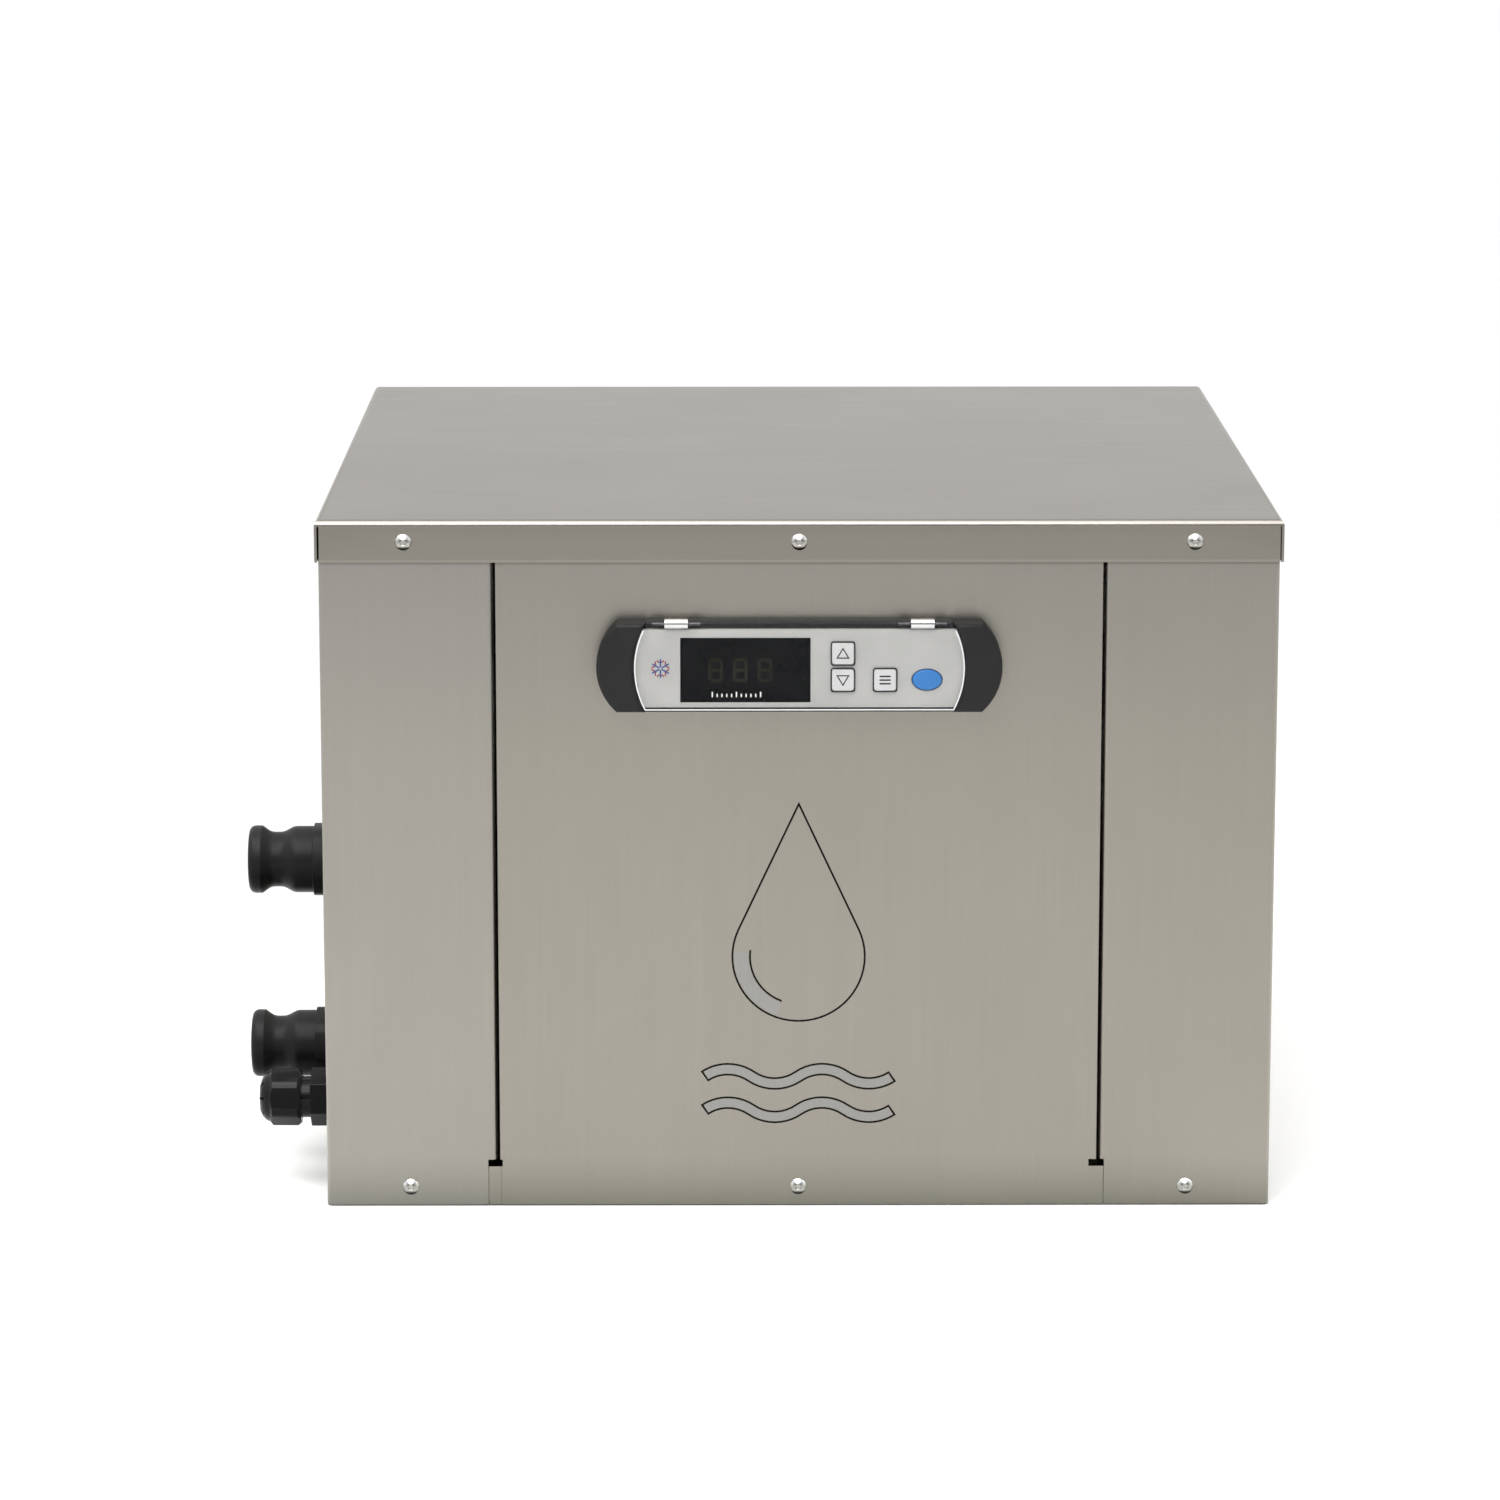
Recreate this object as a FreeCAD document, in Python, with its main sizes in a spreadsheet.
"""Water chiller in a folded stainless cabinet: a refrigeration circuit that cools pool or plunge water.

The frame has +Z up and its origin at the centre of the base's underside. The front, with the temperature
controller, faces -Y. The water and cable fittings leave the left side, towards -X. Lengths are millimetres.
"""

import FreeCAD, Part
import math
import os
import re
import Sketcher

DIMENSIONS = {
    # cabinet: a wrap-round left and right panel, a centre front panel, a rear panel, a base tray and a lid
    "body_w": 438.0,
    "body_d": 455.0,
    "body_top": 321.3,
    "cutter": 20.0,
    "sheet": 1.2,
    "bend_radius": 2.4,
    "panel_foot": 0.6,
    "tray_gap": 0.2,
    "tray_lip": 18.4,
    "drain_radius": 5.0,
    "drain_x": 20.0,
    "drain_y": -180.0,
    "lid_top": 323.0,
    "lid_flange": 19.5,
    "lid_gap": 0.3,
    "lid_bend": 3.0,
    "lid_slit_left": 0.9,
    "lid_slit_right": 0.5,
    "slot_x": 139.0,
    "slot_width": 1.2,
    "slot_bend_left": 3.0,
    "slot_bend_right": 2.4,
    "slot_return": 12.0,
    "relief_floor": 18.9,
    "relief_top": 22.2,
    "left_relief_out": 144.0,
    "left_relief_in": 137.3,
    "right_relief_out": 142.1,
    "right_relief_in": 134.9,
    "seam": 0.4,
    "tab_step": 0.15,
    "rear_return": 60.0,
    "rear_inset": 1.5,
    "rear_gap": 0.05,
    # screws that hold the lid and the panels
    "screw_x": 180.0,
    "lid_screw_z": 312.9,
    "base_screw_z": 9.3,
    "side_screw_y": 150.0,
    "screw_head": 7.6,
    "screw_head_height": 2.2,
    "screw_rim": 0.35,
    "screw_lead": 0.5,
    "screw_thread": 4.0,
    "screw_length": 10.0,
    "screw_hex": 2.5,
    "screw_hex_depth": 1.3,
    "screw_hole": 4.5,
    "nut_width": 7.0,
    "nut_height": 5.0,
    "nut_bore": 4.1,
    # vents
    "vent_width": 3.6,
    "vent_height": 42.0,
    "vent_pitch": 9.0,
    "vent_row_pitch": 50.0,
    "left_vent_z": 158.0,
    "right_vent_z": 237.0,
    "grille_step": 11.0,
    "grille_slot": 5.0,
    "grille_first": 26.0,
    "grille_spoke": 8.0,
    "grille_rings": 8.0,
    "grille_bars": 4.0,
    # engraved mark on the front panel
    "mark_depth": 0.35,
    "mark_line": 0.9,
    "shine_inset": 8.1,
    "drop_tip_z": 192.0,
    "drop_centre_z": 119.0,
    "drop_radius": 31.0,
    "wave_radius": 19.0,
    "wave_sweep": 70.0,
    "wave_band": 6.0,
    "wave_arcs": 4.0,
    "wave_z": 62.0,
    "wave_step": 16.0,
    # temperature controller
    "ctl_z": 256.5,
    "ctl_half_height": 20.5,
    "ctl_mid_x": 92.4,
    "ctl_corner_x": 83.2,
    "cap_mid_x": 75.6,
    "cap_corner_x": 70.2,
    "cap_front": 13.0,
    "cap_edge_round": 2.2,
    "fascia_gap": 0.3,
    "frame_depth": 7.0,
    "fascia_depth": 10.0,
    "fascia_bottom": 238.0,
    "fascia_top": 274.0,
    "fascia_clearance": 0.25,
    "frame_window_x": 67.0,
    "frame_window_z": 14.0,
    "cutout_w": 150.0,
    "cutout_h": 31.0,
    "housing_gap": 0.25,
    "housing_wall": 2.0,
    "housing_depth": 60.0,
    "window_left": -54.2,
    "window_right": 5.1,
    "window_bottom": 240.3,
    "window_top": 270.2,
    "window_thickness": 1.5,
    "window_gap": 0.1,
    "digits_left": -50.0,
    "digits_right": -4.0,
    "digits_bottom": 247.0,
    "digits_top": 266.5,
    "digits_front": 8.2,
    "board_x": 65.0,
    "board_z": 13.4,
    "board_back": 2.0,
    "board_thickness": 1.6,
    "key_size": 10.2,
    "key_gap": 0.4,
    "key_round": 1.6,
    "key_edge": 0.6,
    "key_flange": 0.8,
    "key_flange_depth": 0.9,
    "face_step": 0.1,
    "key_front": 11.0,
    "arrow_x": 19.8,
    "arrow_up_z": 263.0,
    "key_low_z": 250.8,
    "set_x": 39.0,
    "power_x": 58.1,
    "power_w": 13.4,
    "power_h": 9.4,
    "switch_size": 6.0,
    "switch_height": 1.0,
    "plunger_radius": 1.7,
    "plunger_front": 5.1,
    "cover_back": 12.0,
    "cover_thickness": 1.2,
    "cover_bottom": 237.2,
    "cover_gap": 0.45,
    "cover_tab_x": 4.5,
    "cover_tab_w": 3.6,
    "cover_tab_h": 2.0,
    "cover_tab_d": 1.6,
    "hinge_depth": 10.0,
    "hinge_z": 276.6,
    "rail_radius": 2.2,
    "rail_block": 1.8,
    "rail_half": 69.4,
    "barrel_radius": 2.4,
    "barrel_length": 10.7,
    "barrel_x": 56.0,
    "barrel_gap": 0.3,
    "barrel_foot_z": 1.9,
    "hinge_pin": 0.75,
    "hinge_bore": 0.8,
    "hinge_pin_length": 22.0,
    "block_length": 50.0,
    "block_pitch": 62.0,
    "block_left": -56.0,
    "block_depth": 12.0,
    "block_height": 14.0,
    "block_well": 2.2,
    "block_well_depth": 5.0,
    "clip_w": 6.5,
    "clip_h": 17.0,
    "clip_depth": 24.0,
    "clip_wall": 1.6,
    # hose adapters, cam-and-groove pattern for 3/4 inch couplers
    "adapter_y": -147.5,
    "upper_adapter_z": 147.7,
    "lower_adapter_z": 58.0,
    "adapter_reach": 40.1,
    "adapter_radius": 16.05,
    "adapter_neck": 15.75,
    "collar_flats": 32.15,
    "upper_collar_turn": 24.0,
    "lower_collar_turn": 8.0,
    "rim_round": 3.0,
    "rim_length": 6.1,
    "groove_radius": 13.0,
    "groove_tip_side": 29.8,
    "groove_panel_side": 24.0,
    "groove_round": 6.0,
    "shoulder_start": 18.8,
    "collar_radius": 17.2,
    "collar_start": 9.5,
    "gasket_thickness": 1.6,
    "gasket_radius": 16.8,
    "adapter_thread": 13.2,
    "adapter_thread_in": 19.0,
    "adapter_tail": 54.0,
    "adapter_barb": 10.0,
    "adapter_lead": 1.5,
    "adapter_bore": 8.0,
    "adapter_hole": 13.5,
    "adapter_nut_width": 36.0,
    "adapter_nut_height": 8.0,
    # cable gland
    "gland_y": -187.5,
    "gland_z": 42.0,
    "gland_flats": 24.0,
    "gland_collar": 9.6,
    "gland_neck": 9.7,
    "gland_nut_back": 14.0,
    "gland_nut_front": 28.7,
    "gland_corner": 13.5,
    "gland_back_chamfer": 1.7,
    "gland_front_chamfer": 1.3,
    "gland_reach": 33.6,
    "gland_mouth": 6.6,
    "gland_mouth_bore": 5.2,
    "gland_core_front": 21.0,
    "gland_core_bore": 7.0,
    "gland_seal_radius": 9.3,
    "gland_seal_bore": 4.5,
    "gland_seal_back": 21.2,
    "gland_seal_front": 31.0,
    "gland_nut_bore": 9.85,
    "gland_thread": 10.2,
    "gland_thread_in": 10.0,
    "gland_hole": 10.5,
    "gland_locknut_width": 27.0,
    "gland_locknut_height": 5.0,
    "gland_turn": 9.0,
    "gland_slots": 8.0,
    "gland_slot": 0.9,
    "gland_slot_start": 2.6,
    # evaporator: a titanium coil in a plastic shell
    "shell_x": -120.0,
    "shell_y": -30.0,
    "shell_radius": 60.0,
    "shell_wall": 4.0,
    "shell_foot_z": 8.0,
    "shell_top": 186.0,
    "shell_cap_top": 200.0,
    "shell_cap_radius": 66.0,
    "shell_collar": 14.0,
    "nozzle_end": -108.0,
    "nozzle_radius": 10.0,
    "nozzle_wall": 2.0,
    "shell_rim": 8.0,
    "shell_chamfer": 4.0,
    "coil_radius": 42.0,
    "coil_pitch": 17.0,
    "coil_turns": 6.0,
    "coil_start_z": 40.0,
    "coil_tube": 4.76,
    "coil_riser": 20.0,
    "coil_riser_radius": 3.4,
    "coil_top_z": 222.0,
    "hose_inner": 10.05,
    "hose_outer": 13.5,
    "hose_cover": 28.0,
    "hose_bend": 30.0,
    "hose_end_y": -92.0,
    "clamp_radius": 14.3,
    "clamp_width": 9.0,
    "clamp_inset": 6.0,
    "clamp_nozzle_inset": 3.0,
    "clamp_lug": 8.0,
    "clamp_lug_height": 6.0,
    "probe_radius": 3.0,
    "probe_bottom": 110.0,
    "probe_top": 226.0,
    "probe_nut": 14.0,
    "probe_nut_height": 8.0,
    # compressor
    "comp_x": 60.0,
    "comp_y": 15.0,
    "comp_radius": 56.0,
    "comp_bottom": 20.0,
    "comp_top": 205.0,
    "comp_dome": 16.0,
    "comp_foot_reach": 84.0,
    "comp_foot_width": 30.0,
    "comp_foot_z": 17.0,
    "comp_foot_thickness": 3.0,
    "comp_bolt_radius": 3.0,
    "comp_bolt_circle": 72.0,
    "grommet_radius": 10.0,
    "comp_bolt_top": 30.0,
    "bolt_head": 10.0,
    "bolt_head_height": 4.5,
    "washer": 1.5,
    "term_wall": 2.0,
    "term_socket": 16.0,
    "strap_width": 14.0,
    "strap_height": 8.0,
    "term_radius": 21.0,
    "term_height": 24.0,
    "accu_x": 160.0,
    "accu_radius": 24.0,
    "accu_neck": 16.0,
    "accu_dome": 10.0,
    "accu_bottom": 62.0,
    "accu_top": 178.0,
    "suction_tube": 6.35,
    "suction_bend": 20.0,
    "line_tube": 4.76,
    "line_bend": 14.0,
    "suction_z": 268.0,
    "discharge_z": 292.0,
    "discharge_reach": 26.0,
    "discharge_side": 36.0,
    "discharge_back": 45.0,
    "drier_neck": 1.5,
    "drier_taper": 12.0,
    "drier_x": -160.0,
    "drier_y": 96.0,
    "drier_radius": 14.0,
    "drier_bottom": 60.0,
    "drier_top": 150.0,
    "capillary_tube": 1.3,
    "capillary_bend": 9.0,
    "capillary_low_z": 214.0,
    "capillary_high_z": 236.0,
    # condenser and its fan
    "cond_x": 40.0,
    "cond_w": 300.0,
    "cond_front": 95.0,
    "cond_depth": 44.0,
    "cond_bottom": 30.0,
    "cond_height": 250.0,
    "cond_rows": 8.0,
    "cond_columns": 2.0,
    "fin_count": 36.0,
    "fin_thickness": 0.5,
    "cond_tube": 4.76,
    "cond_hole": 4.86,
    "end_loop": 4.0,
    "end_plate": 1.5,
    "plate_margin": 6.0,
    "shroud_side": 12.0,
    "shroud_over": 14.0,
    "shroud_skirt": 36.0,
    "shroud_ring": 27.0,
    "shroud_hole": 111.0,
    "shroud_sheet": 1.2,
    "motor_radius": 36.0,
    "motor_front": 150.0,
    "motor_length": 38.0,
    "motor_shaft": 4.0,
    "fan_front": 191.0,
    "fan_depth": 22.0,
    "fan_radius": 106.0,
    "fan_hub": 26.0,
    "fan_blades": 5.0,
    "fan_pitch": 28.0,
    "fan_chord_root": 34.0,
    "fan_chord_tip": 62.0,
    "fan_thickness": 1.8,
    "fan_bore": 4.05,
    "bracket_arm": 12.0,
    "bracket_thickness": 2.5,
    "bracket_reach": 117.0,
    # electrical parts on the tray
    "contactor_x": 150.0,
    "contactor_y": -150.0,
    "contactor_w": 45.0,
    "contactor_d": 56.0,
    "contactor_h": 60.0,
    "contactor_inset": 5.0,
    "contactor_shoulder": 12.0,
    "contactor_screw": 2.5,
    "contactor_pitch": 10.0,
    "floor_plate": 4.0,
    "floor_margin": 6.0,
    "capacitor_x": 80.0,
    "capacitor_y": -150.0,
    "capacitor_radius": 22.0,
    "capacitor_height": 92.0,
    "tab_gap": 8.0,
    "tab_width": 6.3,
    "tab_thickness": 0.8,
    "tab_height": 9.0,
    "band_width": 14.0,
    "band_start": 26.0,
    "band_thickness": 1.5,
    "leg_width": 16.0,
}


AXES = {
    "Z": FreeCAD.Rotation(),
    "-Z": FreeCAD.Rotation(FreeCAD.Vector(1, 0, 0), 180),
    "X": FreeCAD.Rotation(FreeCAD.Vector(0, 1, 0), 90),
    "-X": FreeCAD.Rotation(FreeCAD.Vector(0, 1, 0), -90),
    "Y": FreeCAD.Rotation(FreeCAD.Vector(1, 0, 0), -90),
    "-Y": FreeCAD.Rotation(FreeCAD.Vector(1, 0, 0), 90),
}
FRONT = "-body_d / 2"
REAR = "body_d / 2"
LEFT = "-body_w / 2"
RIGHT = "body_w / 2"

doc = FreeCAD.newDocument("WaterChiller")
table = doc.addObject("Spreadsheet::Sheet", "Dims")
for row, (word, number) in enumerate(DIMENSIONS.items(), 1):
    table.set(f"A{row}", word)
    table.set(f"B{row}", str(number))
    table.setAlias(f"B{row}", word)
doc.recompute()
subparts = []


# ---------------------------------------------------------------- helpers


def size(word):
    """One dimension of the sheet as a number, for shapes that Part's own functions make."""
    return float(getattr(table, word))


def dims(formula):
    """A formula with the name of each dimension pointed at its cell."""
    found = re.compile(r"[a-z][a-z_0-9]*")
    return found.sub(lambda word: "Dims." + word[0] if word[0] in DIMENSIONS else word[0], str(formula))


def bind(thing, **formulas):
    """Bind properties of an object to formulas of the sheet."""
    for name, formula in formulas.items():
        thing.setExpression(name, dims(formula))


def place(thing, x="0", y="0", z="0", axis="Z", turn=None):
    """Put an object's origin at a point, with its own Z along an axis."""
    thing.Placement = FreeCAD.Placement(FreeCAD.Vector(), turn or AXES[axis])
    for letter, formula in zip("xyz", (x, y, z)):
        thing.setExpression(f"Placement.Base.{letter}", dims(formula))
    return thing


def box(x, y, z, length, width, height):
    """A block from its lowest corner and its three sizes."""
    block = doc.addObject("Part::Box", "block")
    bind(block, Length=length, Width=width, Height=height)
    return place(block, x, y, z)


def rod(radius, length, x="0", y="0", z="0", axis="Z", angle=360, turn=None):
    """A cylinder, or a sector of one, from the centre of its first end."""
    bar = doc.addObject("Part::Cylinder", "rod")
    bind(bar, Radius=radius, Height=length, Angle=angle)
    return place(bar, x, y, z, axis, turn)


def hexagon(flats, height, x="0", y="0", z="0", axis="Z", turn=None):
    """A six-sided prism given across its flats."""
    prism = doc.addObject("Part::Prism", "hexagon")
    prism.Polygon = 6
    bind(prism, Circumradius=f"({flats}) / sqrt(3)", Height=height)
    return place(prism, x, y, z, axis, turn)


def fuse(*things):
    """One solid from several."""
    if len(things) == 1:
        return things[0]
    whole = doc.addObject("Part::MultiFuse", "fused")
    whole.Shapes = list(things)
    whole.Refine = True
    return whole


def cut(base, *tools):
    """A solid with others taken out of it."""
    rest = doc.addObject("Part::Cut", "cut")
    rest.Base = base
    rest.Tool = fuse(*tools)
    rest.Refine = True
    return rest


def common(*things):
    """What several solids share."""
    shared = doc.addObject("Part::MultiCommon", "shared")
    shared.Shapes = list(things)
    return shared


def group(things):
    """Separate solids that share one node."""
    several = doc.addObject("Part::Compound", "several")
    several.Links = list(things)
    return several


def copies(thing, placements):
    """The same solid at each of several placements."""
    links = []
    for placement in placements:
        link = doc.addObject("App::Link", "copy")
        link.LinkedObject = thing
        link.LinkPlacement = placement
        links.append(link)
    return group(links)


def at(x, y, z, axis="Z"):
    """A placement with local Z along an axis."""
    return FreeCAD.Placement(FreeCAD.Vector(x, y, z), AXES[axis])


def name(label, thing):
    """Record a finished sub-part under the name of its node."""
    thing.Label = label
    subparts.append(thing)
    return thing


def plane(body, role):
    """One of a body's own origin planes."""
    return next(item for item in body.Origin.OriginFeatures if item.Role == role)


def outline(body, role, corners):
    """A closed outline of straight lines, with each corner tied to the sheet."""
    sketch = body.newObject("Sketcher::SketchObject", "outline")
    sketch.AttachmentSupport = [(plane(body, role), "")]
    sketch.MapMode = "FlatFace"
    count = len(corners)
    angles = [2 * math.pi * n / count for n in range(count)]
    spots = [FreeCAD.Vector(50 * math.cos(angle), 50 * math.sin(angle), 0) for angle in angles]
    for n in range(count):
        sketch.addGeometry(Part.LineSegment(spots[n], spots[(n + 1) % count]))
    for n in range(count):
        sketch.addConstraint(Sketcher.Constraint("Coincident", n, 2, (n + 1) % count, 1))
    for n, corner in enumerate(corners):
        for kind, formula, start in zip(("DistanceX", "DistanceY"), corner, spots[n]):
            index = sketch.addConstraint(Sketcher.Constraint(kind, -1, 1, n, 1, start))
            sketch.setExpression(f"Constraints[{index}]", dims(formula))
    return sketch


def lathe(profile, x="0", y="0", z="0", axis="Z"):
    """A body turned about its own Z from (radius, height) corners."""
    body = doc.addObject("PartDesign::Body", "turned")
    sketch = outline(body, "XZ_Plane", profile)
    turned = body.newObject("PartDesign::Revolution", "revolution")
    turned.Profile = sketch
    turned.ReferenceAxis = (sketch, ["V_Axis"])
    turned.Angle = 360
    body.Tip = turned
    return place(body, x, y, z, axis)


def plate(corners, thickness, x="0", y="0", z="0", axis="Z"):
    """A body padded along its own Z from (x, y) corners."""
    body = doc.addObject("PartDesign::Body", "plate")
    sketch = outline(body, "XY_Plane", corners)
    pad = body.newObject("PartDesign::Pad", "pad")
    pad.Profile = sketch
    bind(pad, Length=thickness)
    body.Tip = pad
    return place(body, x, y, z, axis)


def round_edges(body, radius, chosen):
    """Round the edges of a body that a test picks by their middle and direction."""
    doc.recompute()
    last = body.Tip
    picked = []
    for n, edge in enumerate(last.Shape.Edges, 1):
        direction = edge.tangentAt(edge.FirstParameter)
        if chosen(edge.CenterOfMass, direction):
            picked.append(f"Edge{n}")
    fillet = body.newObject("PartDesign::Fillet", "fillet")
    fillet.Base = (last, picked)
    bind(fillet, Radius=radius)
    body.Tip = fillet
    return body


def rectangle(x0, x1, y0, y1):
    """The corners of a rectangle."""
    return [(x0, y0), (x1, y0), (x1, y1), (x0, y1)]


def bent_path(points, bend):
    """A wire of straight runs joined by tangent arcs."""
    edges = []
    start = points[0]
    for before, corner, after in zip(points, points[1:], points[2:]):
        into = (corner - before).normalize()
        out = (after - corner).normalize()
        half = into.getAngle(out) / 2
        reach = bend * math.tan(half)
        first = corner - into * reach
        last = corner + out * reach
        inward = (out - into).normalize()
        middle = corner + inward * (bend / math.cos(half) - bend)
        edges.append(Part.LineSegment(start, first).toShape())
        edges.append(Part.Arc(first, middle, last).toShape())
        start = last
    edges.append(Part.LineSegment(start, points[-1]).toShape())
    return Part.Wire(edges)


def pipe(radius, route, bend):
    """A round bar along a bent route of (x, y, z) points."""
    points = [FreeCAD.Vector(*point) for point in route]
    wire = bent_path(points, bend)
    path = doc.addObject("Part::Feature", "route")
    path.Shape = wire
    ring = doc.addObject("Part::Circle", "ring")
    bind(ring, Radius=radius)
    facing = FreeCAD.Rotation(FreeCAD.Vector(0, 0, 1), points[1] - points[0])
    ring.Placement = FreeCAD.Placement(points[0], facing)
    sweep = doc.addObject("Part::Sweep", "pipe")
    sweep.Sections = [ring]
    sweep.Spine = (path, [f"Edge{n}" for n in range(1, len(wire.Edges) + 1)])
    sweep.Solid = True
    return sweep


# ---------------------------------------------------------------- cabinet


def vent_rows(side, top_row, columns, rows):
    """Upright vent slots through a side panel: columns by rows, centred on y = 0, down from a top row."""
    slots = []
    wall = f"{side} - sheet * 2"
    for row in range(rows):
        for column in range(columns):
            y = f"({column} - {(columns - 1) / 2}) * vent_pitch - vent_width / 2"
            z = f"{top_row} - {row} * vent_row_pitch"
            slots.append(box(wall, y, z, "sheet * 4", "vent_width", "vent_height"))
    return slots


def hole(x, y, z, axis, radius="screw_hole / 2"):
    """A round cutter through a cabinet wall, centred on it."""
    shift = {"X": ("- sheet * 3", "", ""), "Y": ("", "- sheet * 3", ""), "Z": ("", "", "- sheet * 3")}[axis]
    return rod(radius, "sheet * 6", f"{x} {shift[0]}", f"{y} {shift[1]}", f"{z} {shift[2]}", axis)


def wall_screws(kind):
    """The outward axis of each screw's wall, and its place along the wall in steps of the spacing."""
    rear = (-1, 0, 1) if kind == "lid" else (-1, 1)
    across = [("-Y", n) for n in (-1, 0, 1)] + [("Y", n) for n in rear]
    return across + [(side, n) for side in ("-X", "X") for n in (-1, 1)]


def screw_spots():
    """Where the cabinet's screws sit, as (kind, x, y, z, outward axis) formulas."""
    spots = []
    for kind in ("lid", "base"):
        for axis, n in wall_screws(kind):
            x = f"{n} * screw_x" if axis[-1] == "Y" else {"-X": LEFT, "X": RIGHT}[axis]
            y = f"{n} * side_screw_y" if axis[-1] == "X" else {"-Y": FRONT, "Y": REAR}[axis]
            spots.append((kind, x, y, f"{kind}_screw_z", axis))
    return spots


def screw_holes(walls, kinds=("lid", "base")):
    """Clearance holes for the screws of some walls."""
    return [
        hole(x, y, z, axis[-1])
        for kind, x, y, z, axis in screw_spots()
        if kind in kinds and axis in walls
    ]


def base_tray():
    """The folded tray that stands on the ground and carries everything."""
    inset = "(sheet + tray_gap)"
    half_w = f"body_w / 2 - {inset}"
    half_d = f"body_d / 2 - {inset}"
    corners = rectangle(f"-({half_w})", half_w, f"-({half_d})", half_d)
    shell = plate(corners, "tray_lip")
    round_edges(shell, "bend_radius", lambda middle, way: abs(way.z) > 0.9)
    round_edges(shell, "bend_radius", lambda middle, way: middle.z < 0.01)
    hollow_w = f"{half_w} - sheet"
    hollow_d = f"{half_d} - sheet"
    hollow = box(
        f"-({hollow_w})", f"-({hollow_d})", "sheet", f"2 * ({hollow_w})", f"2 * ({hollow_d})", "tray_lip"
    )
    drains = [rod("drain_radius", "sheet * 4", x, "drain_y", "-sheet") for x in ("-drain_x", "drain_x")]
    holes = screw_holes(("-Y", "Y", "-X", "X"), ("base",))
    return name("base_tray", cut(shell, hollow, *drains, *holes))


def wrap_panel(sign, label, slot_bend, extra):
    """A side wall with its front strip and rear return folded on, seen from above as a C."""
    wall = f"{sign} * body_w / 2"
    inside = f"{sign} * (body_w / 2 - sheet)"
    edge = f"{sign} * (slot_x + slot_width / 2)"
    edge_in = f"{sign} * (slot_x + slot_width / 2 + sheet)"
    rear_edge = f"{sign} * (body_w / 2 - rear_return)"
    corners = [
        (edge, f"{FRONT} + slot_return"),
        (edge, FRONT),
        (wall, FRONT),
        (wall, REAR),
        (rear_edge, REAR),
        (rear_edge, f"{REAR} - sheet"),
        (inside, f"{REAR} - sheet"),
        (inside, f"{FRONT} + sheet"),
        (edge_in, f"{FRONT} + sheet"),
        (edge_in, f"{FRONT} + slot_return"),
    ]
    panel = plate(corners, "body_top - panel_foot", z="panel_foot")
    half_w = size("body_w") / 2
    half_d = size("body_d") / 2
    thick = size("sheet")
    slot_edge = size("slot_x") + size("slot_width") / 2

    def corner(reach_x, reach_y):
        """Pick the upright edge at a plan position, with x counted outwards."""
        return lambda middle, way: (
            abs(way.z) > 0.9 and abs(abs(middle.x) - reach_x) < 0.05 and abs(middle.y - reach_y) < 0.05
        )

    round_edges(panel, "bend_radius", corner(half_w, -half_d))
    round_edges(panel, "bend_radius", corner(half_w, half_d))
    round_edges(panel, "bend_radius - sheet", corner(half_w - thick, -half_d + thick))
    round_edges(panel, "bend_radius - sheet", corner(half_w - thick, half_d - thick))
    round_edges(panel, slot_bend, corner(slot_edge, -half_d))
    round_edges(panel, f"{slot_bend} - sheet", corner(slot_edge + thick, -half_d + thick))
    wall_side = "-X" if sign < 0 else "X"
    relief = "left_relief_out" if sign < 0 else "right_relief_out"
    reach = f"{relief} - slot_x + slot_bend_left"
    start = f"-{relief}" if sign < 0 else f"{relief} - ({reach})"
    tab_room = box(start, f"{FRONT} - 1", "0", reach, "slot_return + 2", "relief_top")
    fronts = [
        hole(x, y, z, "Y")
        for kind, x, y, z, axis in screw_spots()
        if axis in ("-Y", "Y") and x == f"{sign} * screw_x"
    ]
    tools = [tab_room] + fronts + screw_holes((wall_side,)) + extra
    return name(label, cut(panel, *tools))


def side_panels():
    """The two wrap-round side panels, the left one with its three fitting holes."""
    fittings = [
        hole(LEFT, "adapter_y", "upper_adapter_z", "X", "adapter_hole"),
        hole(LEFT, "adapter_y", "lower_adapter_z", "X", "adapter_hole"),
        hole(LEFT, "gland_y", "gland_z", "X", "gland_hole"),
    ]
    wrap_panel(-1, "left_panel", "slot_bend_left", fittings + vent_rows(LEFT, "left_vent_z", 15, 2))
    wrap_panel(1, "right_panel", "slot_bend_right", vent_rows(RIGHT, "right_vent_z", 25, 3))


def drop_solid(inset):
    """A water drop as a disc and the wedge of its tip, made smaller all round by an inset."""
    radius = f"(drop_radius - ({inset}))"
    tall = "(drop_tip_z - drop_centre_z)"
    ratio = f"({radius} / drop_radius)"
    touch_x = f"{radius} * sqrt(1 - (drop_radius / {tall})^2)"
    touch_z = f"{radius} * drop_radius / {tall}"
    disc = rod(radius, "mark_depth * 2", "0", f"{FRONT} + mark_depth", "drop_centre_z", "-Y")
    corners = [(f"-{touch_x}", touch_z), (touch_x, touch_z), ("0", f"{tall} * {ratio}")]
    tip = plate(corners, "mark_depth * 2", "0", f"{FRONT} + mark_depth", "drop_centre_z", "-Y")
    return fuse(disc, tip)


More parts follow.
